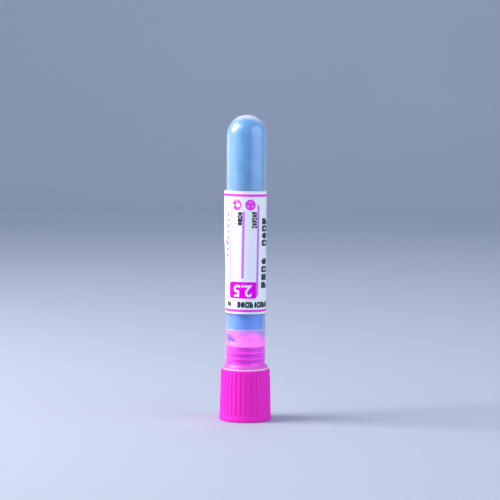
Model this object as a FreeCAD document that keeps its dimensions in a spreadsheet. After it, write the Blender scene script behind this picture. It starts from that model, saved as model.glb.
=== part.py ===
import FreeCAD, Part
import math
import os
import Sketcher

# A push-cap blood collection tube, standing upside down on its cap: a round-ended moulded tube with a collar,
# a one-piece cap with a fluted skirt outside and a ribbed plug inside, and a wrapped paper label.
# Millimetres. The origin is the centre of the cap's flat outer face, and +Z runs along the tube's axis.

DIMENSIONS = (
    ("tube_radius", 6.0, "outer radius of the tube's wall"),
    ("tube_length", 86.0, "mouth to tip, a standard 12 x 86 tube"),
    ("tube_mouth_height", 6.4, "mouth of the seated tube above the cap's outer face"),
    ("bore_radius", 5.25, "radius of the bore"),
    ("bore_lead_in", 0.3, "chamfer that guides the plug into the mouth"),
    ("gate_radius", 0.8, "small flat that the gate leaves on the tip of the round end"),
    ("collar_radius", 6.8, "outer radius of the tube's collar"),
    ("collar_edge", 0.9, "height of the collar's straight edge"),
    ("collar_slope", 0.7, "height of the cone above the collar's edge"),
    ("flange_radius", 8.0, "outer radius of the flange round the cap's closed end"),
    ("flange_bevel", 0.45, "bevel on the flange's lower edge"),
    ("flange_edge", 1.15, "height at which the flange's side ends"),
    ("flange_height", 1.75, "height at which the flange meets the skirt"),
    ("skirt_foot_radius", 7.82, "outer radius of the skirt above the flange"),
    ("skirt_rim_radius", 7.45, "outer radius of the skirt below its rounded rim"),
    ("skirt_height", 15.5, "height of the rim, on which the collar sits"),
    ("skirt_round", 0.6, "round on the rim's outer edge"),
    ("socket_radius", 6.15, "radius inside the skirt, round the tube"),
    ("socket_floor", 2.2, "thickness of the cap's floor"),
    ("socket_lead_in", 0.3, "chamfer inside the rim"),
    ("flute_count", 33, "grip flutes round the skirt"),
    ("flute_width", 0.86, "width of a flute at the skirt's surface"),
    ("flute_bed_width", 0.4, "width of a flute's bed"),
    ("flute_depth", 0.2, "depth of a flute"),
    ("plug_radius", 4.75, "radius of the plug between its ribs"),
    ("plug_height", 27.25, "height of the plug's closed end"),
    ("plug_nose_radius", 5.0, "radius of the plug's round nose"),
    ("plug_nose_foot", 24.0, "angle above the nose's centre at which it rises from the sealing bead"),
    ("plug_core_radius", 3.3, "radius of the plug's hollow, which opens in the cap's outer face"),
    ("plug_core_lead", 0.4, "chamfer round the hollow's mouth"),
    ("plug_core_bevel", 1.3, "bevel at the hollow's end"),
    ("plug_end_wall", 2.0, "wall between the hollow and the tip of the nose"),
    ("bead_radius", 5.2, "radius of the sealing bead and ribs, a running fit in the bore"),
    ("bead_height", 23.3, "height of the middle of the sealing bead"),
    ("bead_half_width", 0.95, "half the width of the sealing bead"),
    ("bead_half_crest", 0.5, "half the width of the flat crest of the bead"),
    ("rib_height", 17.0, "height of the middle of the first rib"),
    ("rib_half_width", 0.55, "half the width of a rib"),
    ("rib_sink", 0.3, "depth to which the ribs are sunk into the shank"),
    ("rib_pitch", 1.8, "distance from rib to rib"),
    ("rib_count", 3, "ribs below the sealing bead"),
    ("label_foot", 26.3, "lower edge of the label above the tube's mouth"),
    ("label_height", 36.9, "height of the label"),
    ("label_thickness", 0.1, "thickness of the label's paper"),
    ("label_skew", 0.8, "degrees by which the label sits askew"),
    ("label_corner", 1.4, "corner radius of the label"),
    ("lap_start_angle", 228.0, "where the label begins to climb over its own other end"),
    ("lap_lift_angle", 205.0, "where the lapping end leaves the label below it"),
    ("lap_free_length", 4.3, "length of the lapping end past that line"),
    ("lap_loose_radius", 12.0, "curl of the loose part of the lapping end, at its top"),
    ("lap_half_loose_radius", 9.6, "curl where the loose part is fully clear of the tube"),
    ("lap_glued_height", 11.0, "height up to which the lapping end is stuck down"),
    ("lap_clear_height", 20.0, "height above which it is fully clear"),
)


class Size:
    """A number that remembers its expression, so a sketch is drawn with one and bound to the other."""

    def __init__(self, number, text=None):
        self.number = float(number)
        self.text = text or repr(self.number)

    def joined(self, other, sign, number):
        return Size(number, "(%s %s %s)" % (self.text, sign, other.text))

    def __add__(self, other):
        other = size_of(other)
        return self.joined(other, "+", self.number + other.number)

    def __sub__(self, other):
        other = size_of(other)
        return self.joined(other, "-", self.number - other.number)

    def __mul__(self, other):
        other = size_of(other)
        return self.joined(other, "*", self.number * other.number)

    def __truediv__(self, other):
        other = size_of(other)
        return self.joined(other, "/", self.number / other.number)


def size_of(value):
    return value if isinstance(value, Size) else Size(value)


def cosine(angle):
    return Size(math.cos(math.radians(angle.number)), "cos(%s)" % angle.text)


def sine(angle):
    return Size(math.sin(math.radians(angle.number)), "sin(%s)" % angle.text)


def tangent(angle):
    return Size(math.tan(math.radians(angle.number)), "tan(%s)" % angle.text)


def root(value):
    return Size(math.sqrt(value.number), "sqrt(%s)" % value.text)


ZERO = Size(0)
TINY = 1e-9
FULL_TURN = 360
DEGREES_PER_RADIAN = 180 / math.pi
START, END, CENTRE = 1, 2, 3  # the points of an edge, as Sketcher numbers them
ACROSS_AXIS, UP_AXIS = -1, -2  # a sketch's own axes, as Sketcher numbers them
RIM_BANDS, NOSE_BANDS, BORE_BANDS = 2, 3, 3  # straight bands that make up a turned round
TRIM = Size(1)  # how far the label is drawn past each of its edges before it is cut
document = FreeCAD.newDocument("CollectionTube")


def make_sheet():
    """Write the driving dimensions into the sheet and return each one as a Size bound to its cell."""
    sheet = document.addObject("Spreadsheet::Sheet", "Dims")
    sizes = {}
    for row, (alias, number, meaning) in enumerate(DIMENSIONS, start=1):
        sheet.set("A%d" % row, meaning)
        sheet.set("B%d" % row, str(number))
        sheet.setAlias("B%d" % row, alias)
        sizes[alias] = Size(number, "Dims." + alias)
    document.recompute()
    return sizes


dims = make_sheet()


def origin_feature(body, role):
    """One of the body's own origin planes or axes, such as XY_Plane or Z_Axis."""
    return next(feature for feature in body.Origin.OriginFeatures if feature.Role == role)


def bind(feature, prop, size):
    feature.setExpression(prop, size.text)


def arc_through(start, end, radius, turn):
    """The short arc from start to end that bends to the left or the right of its way."""
    half = (end - start) * 0.5
    side = FreeCAD.Vector(-half.y, half.x, 0).normalize()
    if turn == "right":
        side = side * -1
    centre = start + half + side * math.sqrt(max(radius ** 2 - half.Length ** 2, 0))
    first, last = (start, end) if turn == "left" else (end, start)
    angles = [math.atan2(point.y - centre.y, point.x - centre.x) for point in (first, last)]
    circle = Part.Circle(centre, FreeCAD.Vector(0, 0, 1), radius)
    return Part.ArcOfCircle(circle, angles[0], angles[1])


def pin_corner(sketch, edge, point, across, up):
    """Hold one end of an edge at its place, which is bound to the sheet."""
    for kind, axis, size in (("DistanceX", UP_AXIS, across), ("DistanceY", ACROSS_AXIS, up)):
        if abs(size.number) < TINY:
            sketch.addConstraint(Sketcher.Constraint("PointOnObject", edge, point, axis))
            continue
        held = Sketcher.Constraint(kind, ACROSS_AXIS, START, edge, point, size.number)
        index = sketch.addConstraint(held)
        bind(sketch, "Constraints[%d]" % index, size)


def new_sketch(body, name, plane, height=None):
    sketch = body.newObject("Sketcher::SketchObject", name)
    sketch.AttachmentSupport = [(origin_feature(body, plane), "")]
    sketch.MapMode = "FlatFace"
    if height is not None:
        bind(sketch, "AttachmentOffset.Base.z", height)
    return sketch


def draw_outline(sketch, corners):
    """Draw a closed outline. A corner is (across, up), or (across, up, turn, radius) before a curved edge."""
    edges = []
    for index, corner in enumerate(corners):
        following = corners[(index + 1) % len(corners)]
        start = FreeCAD.Vector(corner[0].number, corner[1].number, 0)
        end = FreeCAD.Vector(following[0].number, following[1].number, 0)
        if len(corner) == 2:
            edge = sketch.addGeometry(Part.LineSegment(start, end), False)
            edges.append((edge, START, END))
            continue
        turn, radius = corner[2:]
        edge = sketch.addGeometry(arc_through(start, end, radius.number, turn), False)
        edges.append((edge, START, END) if turn == "left" else (edge, END, START))
        held = sketch.addConstraint(Sketcher.Constraint("Radius", edge, radius.number))
        bind(sketch, "Constraints[%d]" % held, radius)
    for index, corner in enumerate(corners):
        edge, first, _ = edges[index]
        previous, _, last = edges[index - 1]
        sketch.addConstraint(Sketcher.Constraint("Coincident", previous, last, edge, first))
        pin_corner(sketch, edge, first, corner[0], corner[1])


def outline(body, name, plane, corners, height=None):
    sketch = new_sketch(body, name, plane, height)
    draw_outline(sketch, corners)
    return sketch


def circle(sketch, across, up, radius):
    """Add a circle to a sketch, its centre and radius bound to the sheet."""
    centre = FreeCAD.Vector(across.number, up.number, 0)
    edge = sketch.addGeometry(Part.Circle(centre, FreeCAD.Vector(0, 0, 1), radius.number), False)
    pin_corner(sketch, edge, CENTRE, across, up)
    held = sketch.addConstraint(Sketcher.Constraint("Radius", edge, radius.number))
    bind(sketch, "Constraints[%d]" % held, radius)


def turned(body, name, corners):
    """Turn a half section about the vertical axis and add it to the body."""
    sketch = outline(body, name + "_section", "XZ_Plane", corners)
    feature = body.newObject("PartDesign::Revolution", name)
    feature.Profile = sketch
    feature.ReferenceAxis = (sketch, ["V_Axis"])
    feature.Angle = FULL_TURN
    return feature


def rounded_edge(across, up, radius, bands, first=ZERO):
    """Corners of an outer edge rounded about a centre, from an angle to its top, in a few straight bands."""
    step = (Size(90) - first) / bands
    angles = [first + step * index for index in range(bands + 1)]
    return [(across + radius * cosine(angle), up + radius * sine(angle)) for angle in angles]


def new_body(label):
    body = document.addObject("PartDesign::Body", label.capitalize())
    body.Label = label
    return body


def make_tube():
    """A round-ended tube, turned in one section: plain wall, collar, dome, and a bore with a round end."""
    body = new_body("tube")
    bind(body, "Placement.Base.z", dims["tube_mouth_height"])
    outer = dims["tube_radius"]
    gate = dims["gate_radius"]
    bore = dims["bore_radius"]
    lead_in = dims["bore_lead_in"]
    collar = dims["collar_radius"]
    tip = dims["tube_length"]
    dome = tip - root(outer * outer - gate * gate)
    collar_foot = dims["skirt_height"] - dims["tube_mouth_height"]
    collar_shoulder = collar_foot + dims["collar_edge"]
    turned(body, "tube_wall", (
        (bore + lead_in, ZERO),
        (outer, ZERO),
        (outer, collar_foot),
        (collar, collar_foot),
        (collar, collar_shoulder),
        (outer, collar_shoulder + dims["collar_slope"]),
        (outer, dome, "left", outer),
        (gate, tip),
        (ZERO, tip),
        *reversed(rounded_edge(ZERO, dome, bore, BORE_BANDS)),
        (bore, lead_in),
    ))
    return body


def flute_section(body, name, radius, height):
    """A flute's section where the skirt has this radius: a narrow bed, sloping sides and an open outer end."""
    half_bed = dims["flute_bed_width"] / 2
    half_mouth = dims["flute_width"] / 2
    flare = (half_mouth - half_bed) / dims["flute_depth"]
    clear = dims["flute_depth"] * 2
    bed = radius - dims["flute_depth"]
    half_open = half_bed + flare * clear
    return outline(body, name, "XY_Plane", (
        (bed, ZERO - half_bed),
        (bed + clear, ZERO - half_open),
        (bed + clear, half_open),
        (bed, half_bed),
    ), height)


def add_flutes(body):
    """Cut one flute down the tapered skirt, from its rim to the flange, and repeat it all round."""
    flute = body.newObject("PartDesign::SubtractiveLoft", "flute")
    flute.Profile = flute_section(body, "flute_foot", dims["skirt_foot_radius"], dims["flange_height"])
    flute.Sections = [flute_section(body, "flute_rim", dims["skirt_rim_radius"], dims["skirt_height"])]
    flute.Ruled = True
    document.recompute()
    flutes = body.newObject("PartDesign::PolarPattern", "flutes")
    flutes.Originals = [flute]
    flutes.Axis = (origin_feature(body, "Z_Axis"), [""])
    flutes.Angle = FULL_TURN
    bind(flutes, "Occurrences", dims["flute_count"])
    body.Tip = flutes


def add_ribs(body):
    """A row of ribs below the sealing bead, each with two sloping flanks."""
    shank = dims["plug_radius"]
    sunk = shank - dims["rib_sink"]
    middle = dims["rib_height"]
    half_foot = dims["rib_half_width"]
    first = turned(body, "rib", (
        (sunk, middle - half_foot),
        (shank, middle - half_foot),
        (dims["bead_radius"], middle),
        (shank, middle + half_foot),
        (sunk, middle + half_foot),
    ))
    document.recompute()
    ribs = body.newObject("PartDesign::LinearPattern", "ribs")
    ribs.Originals = [first]
    ribs.Direction = (origin_feature(body, "Z_Axis"), [""])
    bind(ribs, "Length", dims["rib_pitch"] * (dims["rib_count"] - 1))
    bind(ribs, "Occurrences", dims["rib_count"])
    body.Tip = ribs


def make_cap():
    """A one-piece push cap: flange, tapered skirt, a socket for the tube's mouth, and a hollow plug.

    The plug carries ribs, a wide sealing bead and a round nose, which the bead's upper flank runs into.
    """
    body = new_body("cap")
    flange = dims["flange_radius"]
    flange_bevel = dims["flange_bevel"]
    rim = dims["skirt_height"]
    rim_radius = dims["skirt_rim_radius"]
    rim_round = dims["skirt_round"]
    socket = dims["socket_radius"]
    socket_lead = dims["socket_lead_in"]
    floor = dims["socket_floor"]
    plug = dims["plug_radius"]
    nose = dims["plug_nose_radius"]
    nose_foot = dims["plug_nose_foot"]
    plug_end = dims["plug_height"]
    bead = dims["bead_radius"]
    bead_middle = dims["bead_height"]
    bead_half_crest = dims["bead_half_crest"]
    core_end = plug_end - dims["plug_end_wall"]
    core_radius = dims["plug_core_radius"]
    core_lead = dims["plug_core_lead"]
    core_bevel = dims["plug_core_bevel"]
    turned(body, "cap_wall", (
        (core_radius + core_lead, ZERO),
        (flange - flange_bevel, ZERO),
        (flange, flange_bevel),
        (flange, dims["flange_edge"]),
        (dims["skirt_foot_radius"], dims["flange_height"]),
        *rounded_edge(rim_radius - rim_round, rim - rim_round, rim_round, RIM_BANDS),
        (socket + socket_lead, rim),
        (socket, rim - socket_lead),
        (socket, floor),
        (plug, floor),
        (plug, bead_middle - dims["bead_half_width"]),
        (bead, bead_middle - bead_half_crest),
        (bead, bead_middle + bead_half_crest),
        *rounded_edge(ZERO, plug_end - nose, nose, NOSE_BANDS, nose_foot),
        (ZERO, core_end),
        (core_radius - core_bevel, core_end),
        (core_radius, core_end - core_bevel),
        (core_radius, core_lead),
    ))
    document.recompute()
    add_flutes(body)
    document.recompute()
    add_ribs(body)
    return body


def lap_face():
    """Radius of the lapping end's outer face, where it lies on the label below it."""
    return dims["tube_radius"] + dims["label_thickness"] * 2


def lap_end(curl, depth=ZERO):
    """The tip of the lapping end where its loose part has this curl, at this depth below its outer face."""
    lift = dims["lap_lift_angle"]
    tip = lift - dims["lap_free_length"] / curl * DEGREES_PER_RADIAN
    centre = lap_face() - curl
    reach = curl - depth
    return centre * cosine(lift) + reach * cosine(tip), centre * sine(lift) + reach * sine(tip)


def lap_section(body, name, height, curl, depth):
    """The lapping end across its height: it climbs on to the label below it, and then follows its curl.

    curl is the radius of the part past the lift line, and depth is how thick that part is at its tip.
    """
    below = dims["tube_radius"] + dims["label_thickness"]
    sunk = below - dims["label_thickness"] / 2
    start = dims["lap_start_angle"]
    lift = dims["lap_lift_angle"]
    return outline(body, name, "XY_Plane", (
        (below * cosine(start), below * sine(start), "right", lap_face() + dims["label_thickness"]),
        (lap_face() * cosine(lift), lap_face() * sine(lift), "right", curl),
        lap_end(curl),
        (*lap_end(curl, depth), "left", curl - depth),
        (sunk * cosine(lift), sunk * sine(lift), "left", sunk),
        (sunk * cosine(start), sunk * sine(start)),
    ), height)


def add_lapping_end(body):
    """Loft the lapping end: stuck down along the lower part of its edge and standing loose above that."""
    paper = dims["label_thickness"]
    stuck = paper + paper / 2
    sections = [
        lap_section(body, "lap_foot", ZERO - TRIM, lap_face(), stuck),
        lap_section(body, "lap_glued", dims["lap_glued_height"], lap_face(), stuck),
        lap_section(body, "lap_clear", dims["lap_clear_height"], dims["lap_half_loose_radius"], paper),
        lap_section(body, "lap_top", dims["label_height"] + TRIM, dims["lap_loose_radius"], paper),
    ]
    lap = body.newObject("PartDesign::AdditiveLoft", "lapping_end")
    lap.Profile = sections[0]
    lap.Sections = sections[1:]
    lap.Ruled = True
    return lap


def round_lap_corners(body):
    """Round the two corners of the lapping end. The cut reaches only the side where that end lies."""
    corner = dims["label_corner"]
    top = dims["label_height"]
    past = corner * 2
    top_end = lap_end(dims["lap_loose_radius"])[1]
    foot_end = lap_end(lap_face())[1]
    sketch = new_sketch(body, "lap_corners", "YZ_Plane")
    draw_outline(sketch, (
        (top_end - corner, top, "right", corner),
        (top_end, top - corner),
        (top_end + past, top - corner),
        (top_end + past, top + past),
        (top_end - corner, top + past),
    ))
    draw_outline(sketch, (
        (foot_end - corner, ZERO, "left", corner),
        (foot_end, corner),
        (foot_end + past, corner),
        (foot_end + past, ZERO - past),
        (foot_end - corner, ZERO - past),
    ))
    cut = body.newObject("PartDesign::Pocket", "round_corners")
    cut.Profile = sketch
    bind(cut, "Length", dims["tube_radius"] * 2)
    return cut


def trim_label_ends(body):
    """Cut the top and bottom edges of the label along two parallel planes, tilted by the label's skew."""
    reach = dims["tube_radius"] * 2
    rise = reach * tangent(dims["label_skew"])
    top = dims["label_height"]
    waste = TRIM * 4
    sketch = new_sketch(body, "label_ends", "XZ_Plane")
    draw_outline(sketch, (
        (ZERO - reach, top + rise),
        (reach, top - rise),
        (reach, top + waste),
        (ZERO - reach, top + waste),
    ))
    draw_outline(sketch, (
        (ZERO - reach, rise),
        (reach, ZERO - rise),
        (reach, ZERO - waste),
        (ZERO - reach, ZERO - waste),
    ))
    cut = body.newObject("PartDesign::Pocket", "trim_ends")
    cut.Profile = sketch
    cut.SideType = "Symmetric"
    bind(cut, "Length", reach * 2)
    return cut


def make_label():
    """A wrapped paper label, slightly askew, with one loose end that laps over the other."""
    body = new_body("label")
    bind(body, "Placement.Base.z", dims["tube_mouth_height"] + dims["label_foot"])
    add_lapping_end(body)
    document.recompute()
    round_lap_corners(body)
    document.recompute()
    wrap = new_sketch(body, "wrap_section", "XY_Plane", ZERO - TRIM)
    circle(wrap, ZERO, ZERO, dims["tube_radius"])
    circle(wrap, ZERO, ZERO, dims["tube_radius"] + dims["label_thickness"])
    pad = body.newObject("PartDesign::Pad", "wrap")
    pad.Profile = wrap
    bind(pad, "Length", dims["label_height"] + TRIM * 2)
    document.recompute()
    trim_label_ends(body)
    return body


parts = (make_tube(), make_cap(), make_label())
document.recompute()

for item in document.Objects:
    faults = set(item.State) & {"Invalid", "Error"}
    if faults:
        raise RuntimeError("%s: %s" % (item.Name, item.State))

os.makedirs("parts", exist_ok=True)
for part in parts:
    shape = part.Shape
    if shape.isNull() or not shape.isValid():
        raise RuntimeError("%s has no valid shape" % part.Label)
    shape.exportStep("parts/%s.step" % part.Label)
    print(part.Label, "volume %.1f mm3" % shape.Volume, shape.BoundBox)
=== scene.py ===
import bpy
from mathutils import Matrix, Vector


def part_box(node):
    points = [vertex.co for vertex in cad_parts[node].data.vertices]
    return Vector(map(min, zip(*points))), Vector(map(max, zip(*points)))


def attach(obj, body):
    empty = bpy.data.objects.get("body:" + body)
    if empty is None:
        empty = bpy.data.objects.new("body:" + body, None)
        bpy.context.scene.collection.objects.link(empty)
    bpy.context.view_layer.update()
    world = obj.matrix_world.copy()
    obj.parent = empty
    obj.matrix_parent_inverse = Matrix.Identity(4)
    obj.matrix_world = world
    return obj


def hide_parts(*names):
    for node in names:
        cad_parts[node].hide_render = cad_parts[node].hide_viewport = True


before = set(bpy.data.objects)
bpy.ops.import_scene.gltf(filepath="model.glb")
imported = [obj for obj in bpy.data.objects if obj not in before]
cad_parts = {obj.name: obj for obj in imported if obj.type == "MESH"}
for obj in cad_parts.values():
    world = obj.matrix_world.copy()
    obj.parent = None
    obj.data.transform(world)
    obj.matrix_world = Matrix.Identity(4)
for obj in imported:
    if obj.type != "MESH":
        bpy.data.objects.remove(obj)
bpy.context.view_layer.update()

import math

import bmesh
import bpy
from mathutils import Matrix, Vector

# The looks of a push-cap blood collection tube that stands on its cap: a milky round-ended tube, a fluted
# pink cap whose ribbed plug shows through the wall, a clear additive over the plug, and a printed label.
# Sizes are millimetres, and heights are above the cap's outer face. Meshes are written in metres. The sweep,
# the softboxes and the camera are placed in metres.

MM = 0.001
RIGHT = (1.0, 0.0, 0.0)
BACK = (0.0, 1.0, 0.0)
UP = (0.0, 0.0, 1.0)
TUBE_LOW, TUBE_HIGH = (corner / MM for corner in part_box("tube"))
CAP_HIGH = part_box("cap")[1] / MM

CONTACT = 0.02  # how far two faces that touch are let into each other, so that no light gets between them
ON_AXIS = 0.001  # a point of a half section nearer to the axis than this is on it
SHARP = 40  # degrees between two faces from which their edge stays sharp

# The tube.
MOUTH = TUBE_LOW.z
TIP = TUBE_HIGH.z
COLLAR = TUBE_HIGH.x
WALL = 6.0
BORE = 5.25
GATE = 0.8
GATE_MARK = 0.44
GATE_MARK_DEPTH = 0.02
DOME = TIP - math.sqrt(WALL ** 2 - GATE ** 2)
LEAD_IN = 0.3
EDGE_ROUND = 0.12
COLLAR_FOOT = 15.5
COLLAR_EDGE = 0.9
COLLAR_SLOPE = 0.7
COLLAR_TOP = COLLAR_FOOT + COLLAR_EDGE
COLLAR_BAND = 0.42  # the pale band painted round the collar's foot as the rim's highlight
FILLET = 0.08
FILLET_HEIGHT = 0.12
TUBE_COLUMNS = 180

# The cap.
FLANGE = CAP_HIGH.x
FLANGE_BEVEL = 0.45
FLANGE_EDGE = 1.15
FLANGE_TOP = 1.75
SKIRT_FOOT = 7.82
SKIRT_RIM = 7.45
RIM = COLLAR_FOOT + CONTACT
RIM_ROUND = 0.6
SOCKET = 6.15
SOCKET_FLOOR = 2.2
SOCKET_ROUND = 0.3
CAP_SHARP = 30
FLUTES = 33
FLUTE_COLUMNS = 14
FLUTE_WIDTH = 1.0
FLUTE_BED = 0.3
FLUTE_DEPTH = 0.17
FLUTE_RUN_OUT = 0.2

# The plug inside the tube.
PLUG = 4.75
PLUG_ROOT = 0.2
PLUG_TOP = CAP_HIGH.z
NOSE = 5.0
NOSE_CENTRE = PLUG_TOP - NOSE
NOSE_FOOT = 24.0
CORE = 3.3
CORE_BEVEL = 1.3
CORE_LEAD_IN = 0.4
PLUG_SIDE = SOCKET - 0.4  # the radius from which the cap looks as it does outside
GREASE_FOOT = SOCKET_FLOOR + 0.6  # the height from which the plug is greased
PLUG_END_WALL = 2.0
RIB_CREST = 5.2
RIB_HEIGHTS = (17.0, 18.8, 20.6)
RIB_HALF_WIDTH = 0.55
RIB_HALF_CREST = 0.1
BEAD_HEIGHT = 23.3
BEAD_HALF_WIDTH = 0.95
BEAD_HALF_CREST = 0.5
SQUEEZED_BEAD = BORE + CONTACT

# The additive that lies on the plug.
ADDITIVE_LEVEL = 27.55
ADDITIVE_OVERLAP = 0.1  # how far it is let into the nose
# Up to here the bore carries a broken pale line painted as highlights along the meniscus.
MENISCUS_GLINT_TOP = 27.8
MENISCUS_RISE = 0.2
MENISCUS_REACH = 0.6

# The label.
LABEL_FOOT = MOUTH + 26.3
LABEL_HEIGHT = 36.9
PAPER = 0.1
GLUE_GAP = 0.006
FACE = WALL + PAPER
LAP_FACE = FACE + PAPER
SKEW = math.tan(math.radians(0.8))
CLIMB_TURN = math.radians(-42)
LIFT_TURN = math.radians(-65)
UNDER_END_TURN = math.radians(294)
LOOSE_LENGTH = 4.3
LOOSE_CURL = 12.0
GLUED_HEIGHT = 11.0
LABEL_CORNER = 1.4
INK = 0.02
INK_WELD = 0.0005
INK_BEND = 0.4  # the print is cut into strips this wide, so that it bends with the paper

# Where the looks of the tube and the plug change. Each pair is where a change starts and where it has ended.
WALL_CLEARS = (27.0, 20.0)  # down: the milk of the wall's skin goes
HAZE_PALES = (34.0, 46.0)  # up: the haze on the bore turns from blue to blue-grey
DOME_EDGE = (DOME - 0.5, DOME + 1.5)  # up: what the wall throws back turns to the dome's blue
TIP_EDGE = (DOME + 3.6, DOME + 5.0)  # up: and then to the tip's greyish violet
PAINTED_GLOW_FOOT = (23.4, 25.4)  # up: the painted glow behind the plug's shoulder comes in
PAINTED_GLOW_BACK = (-1.5, 4.2)  # back: the same painted glow comes in
PAINTED_GLOW_COOLS = (0.6, 3.2)  # right: it turns from pink to pale blue
FRONT_HALF = (1.0, -1.0)  # front: the painted glow turns to a deeper pink
POOL_FOOT = (25.2, 26.6)  # up: the deeper pink painted glow where the additive pools comes in
POOL_SIDE = (1.4, -3.0)  # left: the same painted glow comes in
WEDGE_SLANT = (0.791, 0.0, 0.612)  # the way out of the wedge of painted violet shade, across its slanted edge
WEDGE_EDGE = (12.9, 12.45)  # against that way: the wedge comes in
WEDGE_TOP = (26.6, 26.0)  # down: the wedge comes in
WEDGE_FOOT = (24.05, 24.4)  # up: the wedge comes in
WEDGE_FRONT = (0.0, -2.0)  # front: the wedge comes in
GROOVE_PALES = (PLUG, RIB_CREST - 0.1)  # outwards: the painted shade in the ribs' grooves goes
CROWN_PALES = (PLUG_TOP - 2.2, PLUG_TOP - 0.3)  # up: the painted light on the nose's top comes in
RIBS_LIT = (0.0, 3.5)  # right: the ribs' painted glow comes in

# What the tube's plastic does with light. The wet bore bends it little, because liquid lies against the wall.
WALL_IOR = 1.49
WET_IOR = 1.11
ADDITIVE_IOR = 1.34
CLEAR_TINT = (0.90, 0.95, 1.0)
EDGE_MILK = (0.54, 0.74, 0.90)
EDGE_SHARE = 0.55  # how much of what is thrown back comes from the milk
HAZE_GLOW = 0.35  # how much of the haze's light comes from behind it
HAZE_SHARE = 0.9  # how much a thick haze hides
MILK_DRIFT = 0.02  # how far the milk's opacity strays from its mean
GLOSS_DRIFT = 0.05  # how far the roughness of the plastics strays upwards


def smooth(value):
    """0 up to 0, 1 from 1, and an easy slope between them."""
    value = min(max(value, 0.0), 1.0)
    return value * value * (3 - 2 * value)


def arc(across, up, radius, first, last, steps):
    """Points of an arc of a half section, between two angles in degrees above the horizontal."""
    angles = [math.radians(first + (last - first) * step / steps) for step in range(steps + 1)]
    return [(across + radius * math.cos(angle), up + radius * math.sin(angle)) for angle in angles]


def bump(middle, half_width, half_crest, foot, crest, steps):
    """A moulded ring's half section, bottom to top: smooth flanks and a crest that may be flat."""
    points = []
    for step in range(steps + 1):
        offset = half_width * (2 * step / steps - 1)
        rise = smooth((half_width - abs(offset)) / (half_width - half_crest))
        points.append((foot + (crest - foot) * rise, middle + offset))
    return points


def add_object(name, data):
    """A new object of the scene that shows this mesh, curve, lamp or camera."""
    carrier = bpy.data.objects.new(name, data)
    bpy.context.scene.collection.objects.link(carrier)
    return carrier


def finished_mesh(name, points, faces, sharp=SHARP):
    """An object from points in millimetres, its faces turned outwards and smooth between sharp edges."""
    mesh = bpy.data.meshes.new(name)
    mesh.from_pydata([Vector(point) * MM for point in points], [], faces)
    shape = bmesh.new()
    shape.from_mesh(mesh)
    bmesh.ops.recalc_face_normals(shape, faces=shape.faces)
    shape.to_mesh(mesh)
    shape.free()
    mesh.shade_smooth()
    mesh.set_sharp_from_angle(angle=math.radians(sharp))
    return add_object(name, mesh)


def lathe(name, section, columns, radius_at=None, sharp=SHARP):
    """Turn a closed half section about the tube's axis.

    radius_at(radius, height, turn) may reshape a ring. Edges from sharp degrees up stay sharp.
    """
    points = []
    rings = []
    for radius, height in section:
        start = len(points)
        if radius < ON_AXIS:
            points.append((0, 0, height))
            rings.append([start] * columns)
            continue
        for column in range(columns):
            turn = math.tau * column / columns
            reach = radius_at(radius, height, turn) if radius_at else radius
            points.append((reach * math.cos(turn), reach * math.sin(turn), height))
        rings.append(list(range(start, start + columns)))
    faces = []
    for lower, upper in zip(rings, rings[1:] + rings[:1]):
        for column in range(columns):
            following = (column + 1) % columns
            face = [lower[column], lower[following], upper[following], upper[column]]
            face = list(dict.fromkeys(face))
            if len(face) > 2:
                faces.append(face)
    return finished_mesh(name, points, faces, sharp)


def wear(piece, body, *materials, replaces=(), slot=None):
    """Give a piece its materials and its place in the frame."""
    for material in materials:
        piece.data.materials.append(material)
    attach(piece, body)
    if replaces:
        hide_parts(*replaces)


def choose_material(piece, choose):
    """Give each face the material whose place in the piece's list choose(radius, height) names."""
    for face in piece.data.polygons:
        radius = math.hypot(face.center.x, face.center.y) / MM
        face.material_index = choose(radius, face.center.z / MM)


# Materials.


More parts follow.
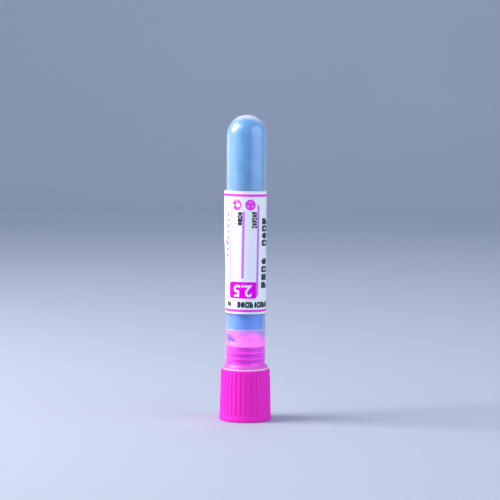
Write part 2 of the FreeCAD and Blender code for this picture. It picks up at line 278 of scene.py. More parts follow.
class Nodes:
    """A material's node tree, with short ways to add nodes and to link them."""

    def __init__(self, name):
        self.material = bpy.data.materials.new(name)
        self.material.use_nodes = True
        self.tree = self.material.node_tree
        self.tree.nodes.clear()
        self.output = self.tree.nodes.new("ShaderNodeOutputMaterial")

    def add(self, kind, inputs=None, **settings):
        """A node of this kind, with its inputs fed and its settings made."""
        node = self.tree.nodes.new("ShaderNode" + kind)
        for setting, value in settings.items():
            setattr(node, setting, value)
        for socket, value in (inputs or {}).items():
            self.feed(node.inputs[socket], value)
        return node

    def feed(self, socket, value):
        """Link a socket to an output, or set its own value."""
        if isinstance(value, bpy.types.NodeSocket):
            self.tree.links.new(value, socket)
        elif socket.type == "RGBA":
            socket.default_value = (*value, 1.0)
        else:
            socket.default_value = value

    def principled(self, **finish):
        """A Principled shader. Each setting is the name of a socket, with _ for its spaces."""
        inputs = {socket.replace("_", " "): value for socket, value in finish.items()}
        return self.add("BsdfPrincipled", inputs).outputs[0]

    def place(self, scale=(1.0, 1.0, 1.0)):
        """The object's own coordinates, in metres, scaled along each axis."""
        coordinates = self.add("TexCoord")
        mapping = self.add("Mapping", {"Vector": coordinates.outputs["Object"], "Scale": scale})
        return mapping.outputs["Vector"]

    def noise(self, scale, detail=3.0, stretch=(1.0, 1.0, 1.0), roughness=0.5):
        inputs = {"Vector": self.place(stretch), "Scale": scale, "Detail": detail, "Roughness": roughness}
        return self.add("TexNoise", inputs).outputs["Fac"]

    def spread(self, value, low=0.0, high=1.0, start=0.3, stop=0.7):
        """A value that runs from start to stop, spread from low to high.

        What start and stop are by default is about where a noise runs.
        """
        inputs = {"Value": value, "From Min": start, "From Max": stop, "To Min": low, "To Max": high}
        return self.add("MapRange", inputs).outputs["Result"]

    def along(self, direction, start, stop):
        """0 up to start and 1 from stop, two places in millimetres along this direction."""
        inputs = {0: self.place(), 1: direction}
        reach = self.add("VectorMath", inputs, operation="DOT_PRODUCT").outputs["Value"]
        return self.spread(reach, start=start * MM, stop=stop * MM)

    def outwards(self, start, stop):
        """0 up to one radius about the tube's axis and 1 from another, both in millimetres."""
        flat = self.place((1.0, 1.0, 0.0))
        radius = self.add("VectorMath", {0: flat}, operation="LENGTH").outputs["Value"]
        return self.spread(radius, start=start * MM, stop=stop * MM)

    def product(self, *values):
        """The product of two or more values."""
        result = values[0]
        for value in values[1:]:
            result = self.add("Math", {0: result, 1: value}, operation="MULTIPLY").outputs[0]
        return result

    def largest(self, *values):
        """The largest of two or more values."""
        result = values[0]
        for value in values[1:]:
            result = self.add("Math", {0: result, 1: value}, operation="MAXIMUM").outputs[0]
        return result

    def tint(self, value, first, second):
        """A colour that runs from the first to the second as the value goes from 0 to 1."""
        node = self.add("Mix", data_type="RGBA")
        factor, first_colour, second_colour = (node.inputs[socket] for socket in (0, 6, 7))
        self.feed(factor, value)
        self.feed(first_colour, first)
        self.feed(second_colour, second)
        return node.outputs[2]

    def relief(self, value, distance, strength=1.0):
        """A normal that the value raises by this distance, in metres."""
        inputs = {"Height": value, "Distance": distance, "Strength": strength}
        return self.add("Bump", inputs).outputs["Normal"]

    def blend(self, share, first, second):
        """This share of the second shader over the first."""
        return self.add("MixShader", {0: share, 1: first, 2: second}).outputs[0]

    def finish(self, shader):
        self.tree.links.new(shader, self.output.inputs["Surface"])
        return self.material


def clear_plastic(nodes, colour, ior, roughness, **finish):
    """A clear dielectric that lets light rays through to what lies behind it."""
    finish = {"Base_Color": colour, "Roughness": roughness, "IOR": ior, "Transmission_Weight": 1.0, **finish}
    glass = nodes.principled(**finish)
    open_way = nodes.add("BsdfTransparent", {"Color": colour}).outputs[0]
    shadow_ray = nodes.add("LightPath").outputs["Is Shadow Ray"]
    return nodes.blend(shadow_ray, glass, open_way)


def wall_material(name, gloss, opacity, milk, clears=None):
    """The outside of the tube's wall: polypropylene with faint moulding waves, milky in its depth.

    gloss is the roughness of its skin, opacity the milk's mean opacity, and milk the pair of colours between
    which the milk drifts. Below the heights that clears gives, there is no milk.
    """
    nodes = Nodes(name)
    waves = nodes.noise(70.0, detail=2.0, stretch=(1.0, 1.0, 0.25))
    drift = nodes.noise(160.0)
    finish = {
        "Normal": nodes.relief(waves, distance=0.00002, strength=0.3),
        "Coat_Weight": 0.8,
        "Coat_Roughness": 0.28,
        "Coat_IOR": 1.5,
        "Sheen_Weight": 0.35,
        "Sheen_Roughness": 0.4,
        "Sheen_Tint": (0.80, 0.94, 1.0),
    }
    roughness = nodes.spread(nodes.noise(400.0), gloss, gloss + GLOSS_DRIFT)
    clear_tint = nodes.tint(drift, (0.93, 0.96, 1.0), (0.97, 0.98, 1.0))
    clear = clear_plastic(nodes, clear_tint, WALL_IOR, roughness, **finish)
    solid = nodes.principled(Base_Color=nodes.tint(drift, *milk), Roughness=roughness, IOR=WALL_IOR, **finish)
    share = nodes.spread(drift, opacity - MILK_DRIFT, opacity + MILK_DRIFT)
    if clears:
        top, foot = clears
        share = nodes.product(share, nodes.along(UP, foot, top))
    return nodes.finish(nodes.blend(share, clear, solid))


def bore_material(nodes, ior, clear_tint, milk, share, edge=EDGE_MILK):
    """The inside of the tube's wall: clear, under a thin milky haze with streaks that run down the wall.

    Light that strikes the bore too flat to leave the wall is thrown back through the wall's own milk, whose
    colour is edge.
    """
    streaks = nodes.noise(900.0, stretch=(1.0, 1.0, 0.06))
    clear = clear_plastic(nodes, clear_tint, ior, roughness=0.03)
    relief = nodes.relief(streaks, distance=0.00001, strength=0.3)
    matt = nodes.spread(streaks, 0.42, 0.55)
    haze = nodes.principled(Base_Color=milk, Roughness=matt, IOR=1.5, Normal=relief)
    glow = nodes.add("BsdfTranslucent", {"Color": milk}).outputs[0]
    passed = nodes.blend(share, clear, nodes.blend(HAZE_GLOW, haze, glow))
    edge_milk = nodes.principled(Base_Color=edge, Roughness=0.5, Normal=relief)
    thrown_back = nodes.add("Fresnel", {"IOR": ior}).outputs[0]
    return nodes.finish(nodes.blend(thrown_back, passed, nodes.blend(EDGE_SHARE, clear, edge_milk)))


def milky_bore():
    """Above the additive the bore is frosted blue-white by what has dried on it, bluer towards its foot."""
    nodes = Nodes("tube_bore_milky")
    clouds = nodes.spread(nodes.noise(220.0, detail=4.0))
    upper = nodes.tint(clouds, (0.12, 0.36, 0.66), (0.17, 0.42, 0.72))
    lower = nodes.tint(clouds, (0.10, 0.37, 0.98), (0.14, 0.42, 1.0))
    height = nodes.along(UP, *HAZE_PALES)
    milk = nodes.tint(height, lower, upper)
    wall_edge = nodes.tint(height, (0.24, 0.34, 0.66), (0.50, 0.72, 0.90))
    dome_edge = nodes.tint(nodes.along(UP, *DOME_EDGE), wall_edge, (0.30, 0.50, 0.80))
    edge = nodes.tint(nodes.along(UP, *TIP_EDGE), dome_edge, (0.52, 0.50, 0.68))
    share = nodes.spread(clouds, 0.88, 0.95, start=0.0, stop=1.0)
    return bore_material(nodes, WALL_IOR, CLEAR_TINT, milk, share, edge)


def meniscus_glints():
    """A broken pale line painted at the additive's level, as highlights along its meniscus."""
    nodes = Nodes("tube_bore_meniscus_glints")
    drops = nodes.spread(nodes.noise(420.0, detail=2.0), start=0.4, stop=0.6)
    milk = nodes.tint(drops, (0.25, 0.44, 0.95), (0.92, 0.97, 1.0))
    return bore_material(nodes, WALL_IOR, CLEAR_TINT, milk, HAZE_SHARE)


def wet_bore():
    """Where the additive and the plug's grease wet the bore, light hardly bends between the two.

    Behind the plug's shoulder the bore carries a painted glow, from pink at the left to pale blue at the
    right.
    High at the left, where the additive pools, the painted glow is a deeper pink and comes round to the
    front.
    In front, under the pool, a slanted wedge of painted violet shade is left.
    """
    nodes = Nodes("tube_bore_wet_glow")
    pooled = nodes.product(nodes.along(RIGHT, *POOL_SIDE), nodes.along(UP, *POOL_FOOT))
    behind = nodes.product(nodes.along(BACK, *PAINTED_GLOW_BACK), nodes.along(UP, *PAINTED_GLOW_FOOT))
    # A wedge of painted violet shade on the bore, under the pool.
    wedge = nodes.product(
        nodes.along(WEDGE_SLANT, *WEDGE_EDGE),
        nodes.along(UP, *WEDGE_TOP),
        nodes.along(UP, *WEDGE_FOOT),
        nodes.along(BACK, *WEDGE_FRONT),
    )
    # Painted glow: the plug's pink light at the left, pale blue at the right.
    painted_glow = nodes.tint(nodes.along(RIGHT, *PAINTED_GLOW_COOLS), (0.96, 0.30, 0.92), (0.40, 0.62, 0.98))
    deeper = nodes.largest(pooled, nodes.along(BACK, *FRONT_HALF))
    milk = nodes.tint(wedge, nodes.tint(deeper, painted_glow, (1.0, 0.26, 0.90)), (0.12, 0.09, 0.98))
    share = nodes.product(nodes.largest(behind, pooled, wedge), HAZE_SHARE)
    return bore_material(nodes, WET_IOR, (0.98, 0.94, 1.0), milk, share)


def additive_material():
    """The additive's open surface, as clear as water."""
    nodes = Nodes("additive_clear")
    colour = nodes.tint(nodes.noise(500.0), (0.94, 0.97, 1.0), (0.98, 0.99, 1.0))
    ripple = nodes.relief(nodes.noise(900.0, detail=2.0), distance=0.00003, strength=0.4)
    return nodes.finish(clear_plastic(nodes, colour, ADDITIVE_IOR, roughness=0.0, Normal=ripple))


def contact_material():
    """The additive where it touches the wall and the plug: nothing shows there."""
    nodes = Nodes("additive_contact")
    colour = nodes.tint(nodes.noise(500.0), (0.98, 0.99, 1.0), (1.0, 1.0, 1.0))
    return nodes.finish(nodes.add("BsdfTransparent", {"Color": colour}).outputs[0])


def pink_material(name, gloss, shine, soft, soaked, shades,
                  deep=None, crown=None, film=0.0, glow=0.0, lit=None):
    """Pink moulded polyethylene: faint flow marks, and light that soaks into it.

    gloss is its roughness and shine the strength of its reflections. soft is the share of the light that
    soaks in, and soaked how far it gets, in millimetres. The plastic drifts between the two colours of
    shades. deep is a painted shade: the darker colour at the bottom of the plug's grooves. crown is a painted
    light: the paler colour at the plug's top. film is the share that a wet film covers. glow is the strength
    of a painted glow in the plastic's own colour, all over or only to the right, from the places of lit on.
    """
    nodes = Nodes(name)
    flow = nodes.noise(260.0, detail=4.0, stretch=(1.0, 1.0, 0.3))
    grain = nodes.noise(1400.0, detail=2.0)
    colour = nodes.tint(nodes.spread(flow), *shades)
    if deep:
        colour = nodes.tint(nodes.outwards(*GROOVE_PALES), deep, colour)
    if crown:
        colour = nodes.tint(nodes.along(UP, *CROWN_PALES), colour, crown)
    glowing = nodes.tint(nodes.along(RIGHT, *lit), (0.0, 0.0, 0.0), colour) if lit else colour
    return nodes.finish(nodes.principled(
        Base_Color=colour,
        Roughness=nodes.spread(flow, gloss, gloss + GLOSS_DRIFT),
        IOR=1.5,
        Specular_IOR_Level=shine,
        Subsurface_Weight=soft,
        Subsurface_Radius=(1.0, 0.3, 0.8),
        Subsurface_Scale=soaked * MM,
        Coat_Weight=film,
        Coat_Roughness=0.06,
        Emission_Color=glowing,
        Emission_Strength=glow,
        Normal=nodes.relief(grain, distance=0.000002, strength=0.5),
    ))


def paper_material():
    """White coated paper: fine fibres under a faint sheen."""
    nodes = Nodes("label_paper")
    fibres = nodes.noise(1500.0, detail=5.0, stretch=(1.0, 1.0, 0.45), roughness=0.65)
    cloud = nodes.spread(nodes.noise(180.0))
    return nodes.finish(nodes.principled(
        Base_Color=nodes.tint(cloud, (0.86, 0.86, 0.90), (0.91, 0.91, 0.93)),
        Roughness=nodes.spread(fibres, 0.42, 0.60),
        IOR=1.46,
        Coat_Weight=0.15,
        Coat_Roughness=0.25,
        Normal=nodes.relief(fibres, distance=0.000018, strength=0.6),
    ))


def ink_material(name, first, second, shine=0.5):
    """Printed ink: thinner and lighter in places, with a low sheen."""
    nodes = Nodes(name)
    mottle = nodes.noise(2200.0)
    return nodes.finish(nodes.principled(
        Base_Color=nodes.tint(nodes.spread(mottle), first, second),
        Roughness=nodes.spread(mottle, 0.35, 0.55),
        IOR=1.48,
        Specular_IOR_Level=shine,
        Normal=nodes.relief(mottle, distance=0.000008, strength=0.5),
    ))


def sweep_material():
    """The floor and the backdrop: pale blue-grey, hardly clouded and matt."""
    nodes = Nodes("studio_sweep")
    colour = nodes.tint(nodes.noise(3.0), (0.42, 0.46, 0.54), (0.45, 0.49, 0.57))
    return nodes.finish(nodes.principled(Base_Color=colour, Roughness=0.7))


# The tube.


def bore_rows():
    """Heights of the rows of the straight bore, top to bottom. The haze and the additive end on rows."""
    stops = [DOME, MENISCUS_GLINT_TOP, ADDITIVE_LEVEL, MOUTH + LEAD_IN]
    rows = []
    for upper, lower in zip(stops, stops[1:]):
        steps = max(int((upper - lower) / 2), 1)
        rows += [upper + (lower - upper) * step / steps for step in range(1, steps + 1)]
    return rows[:-1]


def tube_section():
    """The tube's half section: from the mouth up its outside, and from the tip down the bore."""
    soft = EDGE_ROUND
    slope_top = COLLAR_TOP + COLLAR_SLOPE
    gate_angle = math.degrees(math.acos(GATE / WALL))
    fillet_steps = 4
    return [
        (BORE + LEAD_IN, MOUTH),
        (WALL - soft, MOUTH),
        *arc(WALL - soft, MOUTH + soft, soft, -90, 0, 3)[1:],
        (WALL, COLLAR_FOOT),
        *arc(COLLAR - soft, COLLAR_FOOT + soft, soft, -90, 0, 3),
        (COLLAR, COLLAR_FOOT + COLLAR_BAND),
        *arc(COLLAR - soft, COLLAR_TOP - soft, soft, 0, 45, 3),
        *[(WALL + FILLET * (1 - smooth(step / fillet_steps)),
           slope_top + FILLET_HEIGHT * step / fillet_steps - FILLET) for step in range(fillet_steps + 1)],
        *[(WALL, slope_top + step) for step in range(1, int(DOME - COLLAR_TOP), 2)],
        *arc(0, DOME, WALL, 0, gate_angle, 40),
        (GATE_MARK, TIP - GATE_MARK_DEPTH),
        (0, TIP - GATE_MARK_DEPTH),
        *reversed(arc(0, DOME, BORE, 0, 90, 36)),
        *[(BORE, height) for height in bore_rows()],
        (BORE, MOUTH + LEAD_IN),
    ]


def make_tube():
    """The tube: a clear wall, a collar painted pink, a band painted as a highlight at its foot, and the bore.
    """
    piece = lathe("tube_shell", tube_section(), TUBE_COLUMNS)
    materials = [
        wall_material("tube_wall", gloss=0.20, opacity=0.025, clears=WALL_CLEARS,
                      milk=((0.66, 0.76, 0.90), (0.72, 0.80, 0.93))),
        # The collar's milk is painted the cap's pink, for the cap that the collar refracts.
        wall_material("tube_collar", gloss=0.50, opacity=0.8, milk=((1.0, 0.07, 0.66), (1.0, 0.11, 0.72))),
        # The collar's foot is painted near-white, as a highlight along the rim.
        wall_material("tube_edge", gloss=0.15, opacity=0.92, milk=((0.96, 0.90, 0.98), (1.0, 0.96, 1.0))),
        milky_bore(),
        meniscus_glints(),
        wet_bore(),
    ]
    wall, collar, edge, milky, meniscus_line, wet = range(len(materials))
    wear(piece, "tube", *materials, replaces=["tube"], slot="tube_plastic")

    def choose(radius, height):
        if math.hypot(radius, max(height - DOME, 0)) < BORE + CONTACT and height > MOUTH + LEAD_IN:
            if height > MENISCUS_GLINT_TOP:
                return milky
            return meniscus_line if height > ADDITIVE_LEVEL else wet
        if radius < WALL + CONTACT:
            return wall
        return collar if height > COLLAR_FOOT + COLLAR_BAND else edge

    choose_material(piece, choose)


# The cap.


def skirt_radius(height):
    share = (height - FLANGE_TOP) / (RIM - FLANGE_TOP)
    return SKIRT_FOOT + (SKIRT_RIM - SKIRT_FOOT) * share


def fluted(radius, height, turn):
    """The skirt's radius where the flutes are cut into it, and the given radius anywhere else."""
    if radius < SKIRT_RIM - RIM_ROUND or not FLANGE_TOP < height < RIM:
        return radius
    pitch = math.tau / FLUTES
    offset = abs((turn + pitch / 2) % pitch - pitch / 2) * radius
    half_bed = FLUTE_BED / 2
    half_mouth = FLUTE_WIDTH / 2
    groove = 1 - smooth((offset - half_bed) / (half_mouth - half_bed))
    run_out = smooth((height - FLANGE_TOP) / FLUTE_RUN_OUT)
    cut = skirt_radius(height) - FLUTE_DEPTH * groove * run_out
    return min(radius, cut)


def cap_section():
    """The cap's half section: up the outside, down into the socket, up the plug and down its hollow core."""
    soft = EDGE_ROUND
    skirt_rows = 12
    run_out_rows = 4
    skirt_start = FLANGE_TOP + FLUTE_RUN_OUT
    rise = (RIM - RIM_ROUND - FLANGE_TOP - FLUTE_RUN_OUT) / skirt_rows
    heights = [FLANGE_TOP + FLUTE_RUN_OUT * row / run_out_rows for row in range(run_out_rows)]
    heights += [skirt_start + rise * row for row in range(skirt_rows)]
    outside = [
        (CORE + CORE_LEAD_IN, 0.0),
        (FLANGE - FLANGE_BEVEL - soft, 0.0),
        *arc(FLANGE - FLANGE_BEVEL, FLANGE_BEVEL, FLANGE_BEVEL, -80, 0, 6),
        *arc(FLANGE - soft, FLANGE_EDGE - soft, soft, 0, 70, 4),
        *[(skirt_radius(height), height) for height in heights],
        *arc(SKIRT_RIM - RIM_ROUND, RIM - RIM_ROUND, RIM_ROUND, 0, 90, 8),
    ]
    corner = SOCKET_ROUND
    socket = [
        *arc(SOCKET + corner, RIM - corner, corner, 90, 180, 4),
        (SOCKET, SOCKET_FLOOR + corner),
        *arc(SOCKET - corner, SOCKET_FLOOR + corner, corner, 0, -90, 4)[1:],
        *reversed(arc(PLUG + PLUG_ROOT, SOCKET_FLOOR + PLUG_ROOT, PLUG_ROOT, 180, 270, 4)),
    ]
    ribs = [bump(height, RIB_HALF_WIDTH, RIB_HALF_CREST, PLUG, RIB_CREST, 10) for height in RIB_HEIGHTS]
    bead = bump(BEAD_HEIGHT, BEAD_HALF_WIDTH, BEAD_HALF_CREST, PLUG, SQUEEZED_BEAD, 20)
    plug = [
        *[point for rib in ribs for point in rib],
        *bead[:-4],  # the nose starts on the bead's upper flank
        *arc(0, NOSE_CENTRE, NOSE, NOSE_FOOT, 90, 24),
    ]
    core_end = PLUG_TOP - PLUG_END_WALL
    core = [
        (0, core_end),
        (CORE - CORE_BEVEL, core_end),
        *arc(CORE - CORE_BEVEL, core_end - CORE_BEVEL, CORE_BEVEL, 90, 0, 6)[1:],
        (CORE, CORE_LEAD_IN),
        (CORE + 0.1, 0.15),  # rounds the lead-in
    ]
    return outside + socket + plug + core


def make_cap():
    """The cap: satin outside, greased at the ribs, wet from the bead up, and painted shade and light on the
    plug.
    """
    piece = lathe("cap_moulding", cap_section(), FLUTES * FLUTE_COLUMNS, fluted, CAP_SHARP)
    materials = [
        pink_material("cap_pink", gloss=0.34, shine=0.06, soft=0.4, soaked=0.6,
                      shades=((0.90, 0.028, 0.54), (0.92, 0.032, 0.56))),
        # The ribs' grooves darken to deep, a painted shade, and the ribs glow from lit to the right, a
        # painted light.
        pink_material("cap_pink_greased_and_shaded", gloss=0.3, shine=0.1, soft=0.25, soaked=0.3, glow=0.14,
                      shades=((0.90, 0.006, 0.74), (0.95, 0.010, 0.80)), deep=(0.62, 0.002, 0.60),
                      lit=RIBS_LIT),
        # The nose is a paler, glowing copy of the pink, painted light, with more painted light on its top
        # from crown.
        pink_material("cap_pink_wet_and_lit", gloss=0.10, shine=0.9, soft=0.25, soaked=2.0, glow=0.45, film=1.0,
                      shades=((0.97, 0.11, 0.78), (1.0, 0.15, 0.84)), crown=(1.0, 0.26, 0.84)),
    ]
    satin, greased_and_shaded, wet = range(len(materials))
    wear(piece, "cap", *materials, replaces=["cap"], slot="cap_plastic")

    def choose(radius, height):
        if radius > PLUG_SIDE or height < GREASE_FOOT:
            return satin
        return greased_and_shaded if height < BEAD_HEIGHT - BEAD_HALF_WIDTH else wet

    choose_material(piece, choose)


def make_additive():
    """The clear additive that covers the plug's nose, up to a meniscus on the wall."""
    edge = BORE + CONTACT
    foot = BEAD_HEIGHT
    sunk = NOSE - ADDITIVE_OVERLAP
    start = math.degrees(math.asin((foot - NOSE_CENTRE) / sunk))
    steps = 8
    rises = [step / steps for step in range(steps + 1)]
    section = [
        (0, ADDITIVE_LEVEL),
        (edge / 3, ADDITIVE_LEVEL),
        (edge * 2 / 3, ADDITIVE_LEVEL),
        *[(edge - MENISCUS_REACH * (1 - rise), ADDITIVE_LEVEL + MENISCUS_RISE * rise ** 2) for rise in rises],
        (edge, foot),
        *arc(0, NOSE_CENTRE, sunk, start, 90, 12),
    ]
    piece = lathe("additive", section, TUBE_COLUMNS)
    wear(piece, "tube", additive_material(), contact_material())
    surface, contact = range(2)
    level = ADDITIVE_LEVEL - 0.01  # a little lower, so that rounding never loses the flat middle
    choose_material(piece, lambda radius, height: surface if height > level else contact)


# The label.


def loose_curl(up):
    """The radius that the loose end bends to, this far up the label: the tube's own where it is glued."""
    share = (up - GLUED_HEIGHT) / (LABEL_HEIGHT - GLUED_HEIGHT)
    early, late = 0.85, 0.15  # how much of the lifting is done half way up, and how much goes on to the top
    free = early * smooth(share / 0.5) + late * min(max(share, 0), 1)
    return 1 / ((1 - free) / LAP_FACE + free / LOOSE_CURL)


def paper_point(across, up, lift=0.0):
    """A point of the label. across runs along the paper from its front line, and up from its foot."""
    turn = across / FACE
    if turn > LIFT_TURN:
        climb = smooth((CLIMB_TURN - turn) / (CLIMB_TURN - LIFT_TURN))
        centre = 0.0
        radius = FACE + PAPER * climb
    else:
        radius = loose_curl(up)
        centre = LAP_FACE - radius
        turn = LIFT_TURN + (turn - LIFT_TURN) * FACE / radius
    reach = radius + lift
    x = centre * math.sin(LIFT_TURN) + reach * math.sin(turn)
    y = -centre * math.cos(LIFT_TURN) - reach * math.cos(turn)
    return x, y, LABEL_FOOT + up - x * SKEW


def corner_inset(up):
    """How far the rounded corners of the loose end step back at this height."""
    depth = LABEL_CORNER - min(up, LABEL_HEIGHT - up)
    if depth <= 0:
        return 0.0
    return LABEL_CORNER - math.sqrt(max(LABEL_CORNER ** 2 - depth ** 2, 0.0))


def make_label():
    """One sheet of paper, from its loose end round the tube to the end that lies under the lap."""
    corner_rows = [LABEL_CORNER * (1 - math.cos(math.radians(angle))) for angle in range(0, 90, 10)]
    middle_rows = 60
    middle = LABEL_HEIGHT - 2 * LABEL_CORNER
    rows = corner_rows + [LABEL_CORNER + middle * row / middle_rows for row in range(middle_rows + 1)]
    rows += [LABEL_HEIGHT - row for row in reversed(corner_rows)]
    columns = 240
    last = FACE * UNDER_END_TURN
    points = []
    for lift in (0.0, GLUE_GAP - PAPER):
        for up in rows:
            first = FACE * LIFT_TURN - LOOSE_LENGTH + corner_inset(up)
            for column in range(columns + 1):
                across = first + (last - first) * column / columns
                points.append(paper_point(across, up, lift))
    width = columns + 1
    side = width * len(rows)
    faces = []
    for row in range(len(rows) - 1):
        for column in range(columns):
            face = [row * width + column, row * width + column + 1]
            face += [face[1] + width, face[0] + width]
            faces.append(face)
            faces.append([side + corner for corner in reversed(face)])
    rim = list(range(width))
    rim += [row * width + columns for row in range(1, len(rows))]
    rim += [(len(rows) - 1) * width + column for column in range(columns - 1, -1, -1)]
    rim += [row * width for row in range(len(rows) - 2, 0, -1)]
    for first_corner, second_corner in zip(rim, rim[1:] + rim[:1]):
        faces.append([second_corner, first_corner, side + first_corner, side + second_corner])
    piece = finished_mesh("label_sheet", points, faces)
    wear(piece, "tube", paper_material(), replaces=["label"], slot="label_paper")


# The print on the label. A mark is a list of closed outlines in millimetres: across and up the paper. The
# tables below give places across the paper from its front line, and heights above the cap's outer face.

# Boxes: left, foot, right, top.
PLATE = (-5.35, 37.36, 3.72, 42.37)
PLATE_CORNER = 0.95
RULES = [
    (-1.33, 43.4, -0.6, 63.4),
    (3.36, 38.2, 4.1, 65.4),
]
FOLD = (-5.55, 42.8, -5.0, 65.3)

# Ovals: middle across, middle's height, half width, half height.
RING = [
    (-3.2, 65.5, 1.5, 1.62),
    (-2.75, 65.45, 0.68, 0.70),
    (-4.2, 65.3, 0.24, 0.42),
    (-3.3, 66.6, 0.34, 0.20),
]
DISC = (1.1, 65.5, 1.62, 1.62)
SPOT = (0.30, 0.24)  # half width and half height of each of the three spots
SPOT_RING = 0.8  # how far the spots are from the disc's middle
SPECK = (-7.6, 54.2, 0.6, 0.42)

# Columns of small print: left, width, top, foot, the share of its place that a mark fills, kinds of marks.
GREY_COLUMNS = [
    (-2.78, 1.42, 63.4, 59.3, 0.96, ("oval", "window", "block", "oval")),
    (1.6, 1.72, 63.5, 58.5, 0.86, ("wedge", "oval", "window") * 2),
    (5.3, 3.1, 61.7, 53.0, 0.86, ("wedge", "window", "oval", "window")),
    (5.3, 3.1, 49.7, 40.2, 0.8, ("oval", "window", "block", "wedge")),
]
WORN_COLUMN = (-7.0, 0.85, 63.4, 49.4, 0.5,
               ("block", "wedge", "block", "oval", "wedge", "block", "oval", "wedge"))

# Rows of small print: left, foot, height, and the marks by kind and width. A kind of None leaves a gap.
GREY_ROWS = [
    (-2.4, 34.6, 1.8, [
        ("block", 1.0), ("oval", 1.3), ("window", 1.2), ("wedge", 1.1), (None, 0.2), ("oval", 0.9),
        ("window", 1.2), ("block", 0.7), ("wedge", 1.2), ("oval", 1.1), ("window", 1.2), ("block", 1.0),
    ]),
    (-6.3, 34.9, 1.5, [("oval", 0.7), ("wedge", 0.8)]),
]
MARK_GAP = 0.08
MARK_CORNER = 0.2  # of a mark's shorter side
MARK_WINDOW = 0.2  # of a mark's width and height, from its middle

# The two lines that run round the label, above its foot.
BORDER_HALF_WIDTH = 0.37
BORDER_HEIGHTS = (0.98, LABEL_HEIGHT - 1.28)
BORDER_START = FACE * LIFT_TURN - LOOSE_LENGTH + 0.15
BORDER_END = FACE * math.radians(258)

# The fill volume in millilitres, printed with its head down.
DIGITS = "2.5"
DIGITS_SIZE = 4.9
DIGITS_WEIGHT = 0.09
DIGITS_PLACE = (-0.95, 39.85)


def on_label(height):
    """A height above the cap's outer face, as a height above the label's foot."""
    return height - LABEL_FOOT


def box_outline(left, foot, right, top, corner=0.0):
    if corner == 0:
        return [(left, foot), (right, foot), (right, top), (left, top)]
    return [
        *arc(right - corner, foot + corner, corner, -90, 0, 6),
        *arc(right - corner, top - corner, corner, 0, 90, 6),
        *arc(left + corner, top - corner, corner, 90, 180, 6),
        *arc(left + corner, foot + corner, corner, 180, 270, 6),
    ]


def oval_outline(across, up, half_width, half_height):
    return [(across + half_width * x, up + half_height * y) for x, y in arc(0, 0, 1, 0, 360, 24)[:-1]]


def printed_box(left, foot, right, top, corner=0.0):
    """The outline of a box of the tables above."""
    return box_outline(left, on_label(foot), right, on_label(top), corner)


def printed_oval(across, height, half_width, half_height):
    """The outline of an oval of the tables above."""
    return oval_outline(across, on_label(height), half_width, half_height)


def print_mark(kind, left, foot, width, height):
    """One generic mark of small print, as it looks from afar: an oval, a wedge, a window or a block."""
    right = left + width
    top = foot + height
    middle = left + width / 2
    centre = foot + height / 2
    if kind == "oval":
        return [oval_outline(middle, centre, width / 2, height / 2)]
    if kind == "wedge":
        return [[(left, foot), (right, foot), (right, centre), (middle, top), (left, top)]]
    block = box_outline(left, foot, right, top, MARK_CORNER * min(width, height))
    if kind == "window":
        return [block, oval_outline(middle, centre, width * MARK_WINDOW, height * MARK_WINDOW)]
    return [block]


def print_column(left, width, top, foot, filled, kinds):
    """Marks one below the other, from a row of the tables above."""
    top, foot = on_label(top), on_label(foot)
    pitch = (top - foot) / len(kinds)
    marks = []
    for place, kind in enumerate(kinds):
        mark_foot = top - pitch * (place + 0.5 + filled / 2)
        marks += print_mark(kind, left, mark_foot, width, pitch * filled)
    return marks


def print_row(left, foot, height, marks):
    """Marks side by side, from a row of the tables above."""
    outlines = []
    for kind, width in marks:
        if kind:
            outlines += print_mark(kind, left, on_label(foot), width, height)
        left += width + MARK_GAP
    return outlines


def mesh_of(curve):
    """The mesh of a curve or of a text."""
    carrier = add_object("carrier", curve)
    bpy.context.view_layer.update()
    mesh = bpy.data.meshes.new_from_object(carrier.evaluated_get(bpy.context.evaluated_depsgraph_get()))
    bpy.data.objects.remove(carrier)
    return mesh


def flat_mesh(outlines):
    """A thin flat plate of closed outlines. An outline inside another one is a hole."""
    curve = bpy.data.curves.new("outlines", "CURVE")
    curve.dimensions = "2D"
    curve.fill_mode = "BOTH"
    curve.extrude = INK
    for outline in outlines:
        spline = curve.splines.new("POLY")
        spline.points.add(len(outline) - 1)
        for point, (across, up) in zip(spline.points, outline):
            point.co = (across, up, 0, 1)
        spline.use_cyclic_u = True
    return mesh_of(curve)


def digits_mesh():
    """The plain number on the plate."""
    digits = bpy.data.curves.new("fill_volume", "FONT")
    digits.body = DIGITS
    digits.size = DIGITS_SIZE
    digits.extrude = INK
    digits.offset = DIGITS_WEIGHT
    digits.align_x = "CENTER"
    digits.align_y = "CENTER"
    mesh = mesh_of(digits)
    across, height = DIGITS_PLACE
    mesh.transform(Matrix.Translation((across, on_label(height), 0)) @ Matrix.Rotation(math.pi, 4, "Z"))
    return mesh


def printed(name, mesh, material, lift=0.0):
    """Lay a flat mesh on the paper as one film of ink, bent round the tube with it."""
    film = bmesh.new()
    film.from_mesh(mesh)
    bmesh.ops.remove_doubles(film, verts=film.verts, dist=INK_WELD)
    span = [vertex.co.x for vertex in film.verts]
    cut = math.ceil(min(span) / INK_BEND) * INK_BEND
    while cut < max(span):
        everything = film.verts[:] + film.edges[:] + film.faces[:]
        bmesh.ops.bisect_plane(film, geom=everything, dist=INK_WELD, plane_co=(cut, 0, 0), plane_no=(1, 0, 0))
        cut += INK_BEND
    for vertex in film.verts:
        across = vertex.co.x + (vertex.co.y - LABEL_HEIGHT / 2) * SKEW
        vertex.co = Vector(paper_point(across, vertex.co.y, vertex.co.z + lift)) * MM
    bmesh.ops.recalc_face_normals(film, faces=film.faces)
    film.to_mesh(mesh)
    film.free()
    mesh.name = name
    wear(add_object(name, mesh), "tube", material)


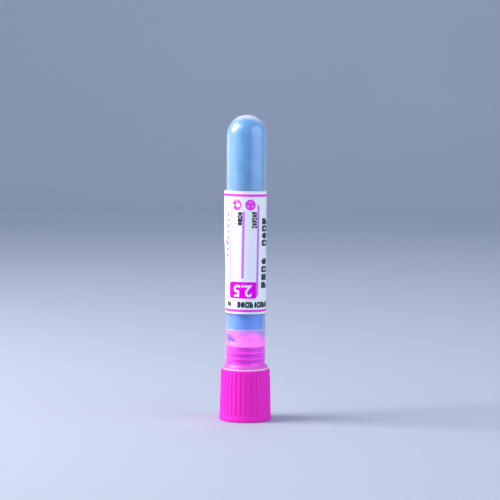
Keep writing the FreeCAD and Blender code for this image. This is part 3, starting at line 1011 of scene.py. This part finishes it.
def make_print():
    """All the print, one piece to each ink or part of the design."""
    pink = ink_material("ink_pink", (0.90, 0.0, 0.76), (0.94, 0.0, 0.82), shine=0.04)
    rose = ink_material("ink_rose", (0.86, 0.03, 0.72), (0.92, 0.07, 0.80), shine=0.2)
    pale = ink_material("ink_pale_pink", (0.66, 0.15, 0.78), (0.74, 0.22, 0.86), shine=0.3)
    faint = ink_material("ink_faint_pink", (0.88, 0.38, 0.84), (0.92, 0.46, 0.88))
    grey = ink_material("ink_grey", (0.02, 0.035, 0.04), (0.05, 0.08, 0.08), shine=0.2)
    worn = ink_material("ink_worn", (0.03, 0.06, 0.12), (0.26, 0.32, 0.42), shine=0.2)
    white = ink_material("ink_white", (0.80, 0.86, 0.92), (0.88, 0.93, 0.97))

    borders = [box_outline(BORDER_START, up - BORDER_HALF_WIDTH, BORDER_END, up + BORDER_HALF_WIDTH)
               for up in BORDER_HEIGHTS]
    ring = [printed_oval(*oval) for oval in RING]
    disc_across, disc_height = DISC[:2]
    spot_places = arc(disc_across, on_label(disc_height), SPOT_RING, 90, 330, 2)
    spots = [oval_outline(across, up, *SPOT) for across, up in spot_places]
    symbols = ring + [printed_oval(*DISC)] + spots
    marks = [outline for column in GREY_COLUMNS for outline in print_column(*column)]
    marks += [outline for row in GREY_ROWS for outline in print_row(*row)]

    printed("print_plate", flat_mesh([printed_box(*PLATE, PLATE_CORNER)]), pink)
    printed("print_pink", flat_mesh(borders + symbols + [printed_oval(*SPECK)]), rose)
    printed("print_spots", flat_mesh(spots), faint)
    printed("print_rules", flat_mesh([printed_box(*rule) for rule in RULES]), pale)
    printed("print_fold", flat_mesh([printed_box(*FOLD)]), faint)
    printed("print_grey", flat_mesh(marks), grey)
    printed("print_worn", flat_mesh(print_column(*WORN_COLUMN)), worn)
    printed("print_digits", digits_mesh(), white, lift=INK / 2)


# The studio. Its sizes and places are metres, but the camera's lens and sensor are millimetres.

WARM = (1.0, 0.95, 0.92)
COOL = (0.86, 0.95, 1.0)
SKY = (0.84, 0.92, 1.0)
ROSE = (1.0, 0.90, 1.0)
WHITE = (0.95, 0.97, 1.0)
KEY_WAY = (-0.82, -0.06, 0.49)
GLINT_WAY = (-0.58, -0.364, 0.70)
LAMP_DISTANCE = 0.62
WORLD_COLOUR = (0.50, 0.66, 1.0, 1.0)
WORLD_STRENGTH = 0.42

CAMERA_PLACE = (0, -0.530, 0.0872)
CAMERA_LENS = 126.288
CAMERA_SENSOR = 36.0
CAMERA_PITCH = math.radians(90 - 3.84)
CAMERA_YAW = math.radians(-0.128)
CAMERA_ROLL = math.radians(0.35)


def make_sweep():
    """A pale floor that curves up into a backdrop."""
    half_width = 3.0
    front = -2.5
    bend_start = 1.4
    bend = 0.8
    bend_steps = 12
    top = 3.0
    section = [(front, 0.0), (bend_start, 0.0)]
    for step in range(1, bend_steps + 1):
        angle = math.radians(90 * step / bend_steps)
        section.append((bend_start + bend * math.sin(angle), bend - bend * math.cos(angle)))
    section.append((bend_start + bend, top))
    points = [(x / MM, y / MM, z / MM) for y, z in section for x in (-half_width, half_width)]
    faces = [[2 * row, 2 * row + 1, 2 * row + 3, 2 * row + 2] for row in range(len(section) - 1)]
    piece = finished_mesh("studio_sweep", points, faces)
    piece.data.materials.append(sweep_material())


def add_softbox(name, place, aim, size, power, colour):
    """A softbox turned to its aim. size is its width and its upright height."""
    light = bpy.data.lights.new(name, "AREA")
    light.shape = "RECTANGLE"
    light.size, light.size_y = size
    light.energy = power
    light.color = colour
    carrier = add_object(name, light)
    carrier.location = place
    carrier.rotation_euler = (Vector(aim) - Vector(place)).to_track_quat("-Z", "Y").to_euler()


def make_lights():
    """The softboxes and the world. The key lights the dome's highlight, and the glint the plug's nose."""
    dome = Vector((0, 0, DOME * MM))
    middle = (0, 0, 0.06)
    key_place = dome + Vector(KEY_WAY) * LAMP_DISTANCE
    glint_place = dome + Vector(GLINT_WAY) * LAMP_DISTANCE
    add_softbox("key", key_place, dome, size=(0.34, 0.38), power=5.2, colour=WARM)
    add_softbox("left", (-0.62, -0.06, 0.10), middle, size=(0.50, 0.34), power=0.6, colour=COOL)
    add_softbox("front_left", (-0.52, -0.36, 0.10), middle, size=(0.60, 0.34), power=0.36, colour=COOL)
    add_softbox("glint", glint_place, dome, size=(0.26, 0.14), power=0.6, colour=WARM)
    add_softbox("side", (0.66, -0.35, 0.40), (0, 0, 0.40), size=(0.95, 0.70), power=4.4, colour=SKY)
    add_softbox("back", (0.0, 0.62, 0.62), middle, size=(0.9, 0.5), power=0.7, colour=ROSE)
    add_softbox("backdrop", (0, 0.9, 2.0), (0, 2.2, 0.7), size=(2.5, 0.5), power=16.0, colour=WHITE)
    world = bpy.data.worlds.new("studio")
    world.use_nodes = True
    background = world.node_tree.nodes["Background"]
    background.inputs["Color"].default_value = WORLD_COLOUR
    background.inputs["Strength"].default_value = WORLD_STRENGTH
    bpy.context.scene.world = world


def make_camera():
    """The camera, where the photo's camera was by the fit to its curves."""
    camera = bpy.data.cameras.new("camera")
    camera.lens = CAMERA_LENS
    camera.sensor_width = CAMERA_SENSOR
    carrier = add_object("camera", camera)
    pitch = Matrix.Rotation(CAMERA_PITCH, 4, "X")
    yaw = Matrix.Rotation(CAMERA_YAW, 4, "Z")
    roll = Matrix.Rotation(CAMERA_ROLL, 4, "Z")
    carrier.matrix_world = Matrix.Translation(CAMERA_PLACE) @ yaw @ pitch @ roll
    bpy.context.scene.camera = carrier


make_tube()
make_cap()
make_additive()
make_label()
make_print()
make_sweep()
make_lights()
make_camera()
bpy.context.scene.view_settings.view_transform = "Standard"
